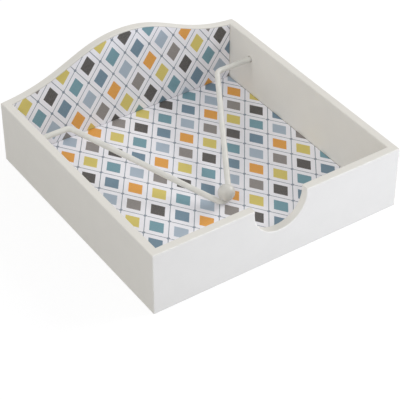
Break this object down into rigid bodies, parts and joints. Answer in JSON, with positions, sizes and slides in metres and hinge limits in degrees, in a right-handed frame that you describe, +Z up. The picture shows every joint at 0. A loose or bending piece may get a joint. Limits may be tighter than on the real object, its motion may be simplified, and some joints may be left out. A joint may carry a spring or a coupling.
{
  "type": "napkin holder",
  "caption": "Square open tray for folded napkins with low walls, an arched back, a thumb notch in front and a hinged V-shaped wire arm with a ball grip that lies on the napkins.",
  "frame": {"origin": "middle of the tray's footprint, on the surface that it stands on", "axes": "+X to the right as seen from the front, +Y to the arched back wall, +Z up"},
  "size_m": [0.19, 0.19, 0.073],
  "materials": {
    "white_lacquer": "satin white lacquer on fibreboard",
    "raw_fibreboard": "bare fibreboard",
    "printed_paper": "printed, satin",
    "wire_enamel": "satin white enamel",
    "ball_enamel": "satin white enamel",
    "bright_steel": "bright drawn"
  },
  "bodies": {
    "tray": {"front_panel": "white_lacquer", "back_panel": "white_lacquer", "left_side_panel": "white_lacquer", "right_side_panel": "white_lacquer", "base_panel": "raw_fibreboard", "base_print_sheet": "printed_paper", "back_print_sheet": "printed_paper", "front_left_pin_1": "bright_steel", "front_left_pin_2": "bright_steel", "front_right_pin_1": "bright_steel", "front_right_pin_2": "bright_steel", "back_left_pin_1": "bright_steel", "back_left_pin_2": "bright_steel", "back_right_pin_1": "bright_steel", "back_right_pin_2": "bright_steel", "base_front_pin_1": "bright_steel", "base_front_pin_2": "bright_steel", "base_back_pin_1": "bright_steel", "base_back_pin_2": "bright_steel", "base_left_pin_1": "bright_steel", "base_left_pin_2": "bright_steel", "base_right_pin_1": "bright_steel", "base_right_pin_2": "bright_steel"},
    "arm": {"hold_down_wire": "wire_enamel", "grip_ball": "ball_enamel"}
  },
  "joints": [
    {"name": "arm_pivot", "type": "hinge", "parent": "tray", "child": "arm", "pos_m": [0, 0.0635, 0.0312], "axis": [-1, 0, 0], "range_deg": [0, 138]}
  ]
}
